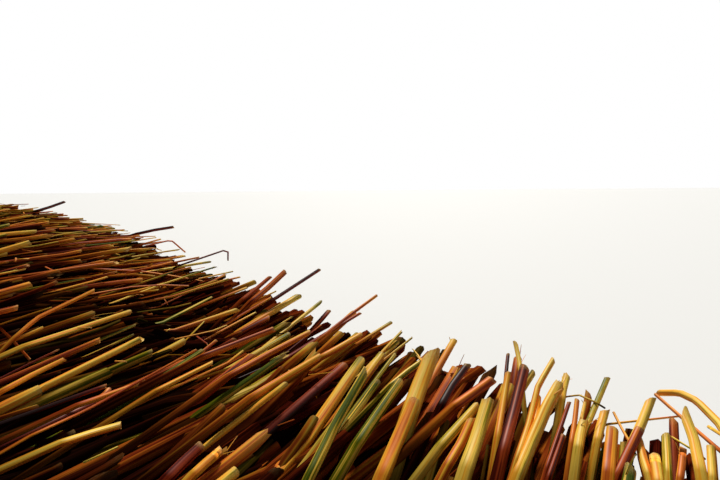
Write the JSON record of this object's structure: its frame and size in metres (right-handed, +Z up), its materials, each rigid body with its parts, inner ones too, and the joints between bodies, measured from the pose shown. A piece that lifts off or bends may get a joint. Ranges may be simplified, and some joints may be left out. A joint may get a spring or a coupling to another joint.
{
  "type": "floating reed raft",
  "caption": "Floating raft of sawn root blocks under crossed, heaped layers of cut reed sheaves, with mooring stakes and tight girth ropes.",
  "frame": {"origin": "centre of the raft in plan, at the level of the water it floats in", "axes": "+X along the raft, +Y out over its front edge, +Z up"},
  "size_m": [7.3204, 4.0026, 1.5612],
  "materials": {
    "reed_top": "dry golden to red-brown cut reed stems, fluted lengthwise, satin, with pale pith at the cut ends",
    "reed_under": "older, darker and damper reed stems, matte",
    "root_mat": "wet matted reed root and peat, fibrous and matte",
    "stake_wood": "round pole with weathered bark and a peeled pale head",
    "rope_fibre": "laid three-strand rope of plant fibre, damp and matte"
  },
  "bodies": {
    "root": {"root_block_1_back": "root_mat", "root_block_1_front": "root_mat", "root_block_2_back": "root_mat", "root_block_2_front": "root_mat", "root_block_3_back": "root_mat", "root_block_3_front": "root_mat", "root_block_4_back": "root_mat", "root_block_4_front": "root_mat", "mooring_stake_left_back": "stake_wood", "mooring_stake_left_front": "stake_wood", "mooring_stake_right_back": "stake_wood", "mooring_stake_right_front": "stake_wood", "girth_rope_upper": "rope_fibre", "girth_rope_lower": "rope_fibre", "base_sheaf_1": "reed_under", "base_sheaf_2": "reed_under", "base_sheaf_3": "reed_under", "base_sheaf_4": "reed_under", "base_sheaf_5": "reed_under", "base_sheaf_6": "reed_under", "base_sheaf_7": "reed_under", "base_sheaf_8": "reed_under", "base_sheaf_9": "reed_under", "cross_sheaf_1": "reed_under", "cross_sheaf_2": "reed_under", "cross_sheaf_3": "reed_under", "cross_sheaf_4": "reed_under", "cross_sheaf_5": "reed_under", "cross_sheaf_6": "reed_under", "top_sheaf_1_back": "reed_top", "top_sheaf_1_front": "reed_top", "top_sheaf_2_back": "reed_top", "top_sheaf_2_front": "reed_top", "top_sheaf_3_back": "reed_top", "top_sheaf_3_front": "reed_top", "top_sheaf_4_back": "reed_top", "top_sheaf_4_front": "reed_top", "top_sheaf_5_back": "reed_top", "top_sheaf_5_front": "reed_top", "top_sheaf_6_back": "reed_top", "top_sheaf_6_front": "reed_top", "top_sheaf_7_back": "reed_top", "top_sheaf_7_front": "reed_top", "top_sheaf_8_back": "reed_top", "top_sheaf_8_front": "reed_top", "top_sheaf_9_back": "reed_top", "top_sheaf_9_front": "reed_top", "loose_reeds": "reed_top"}
  },
  "joints": []
}
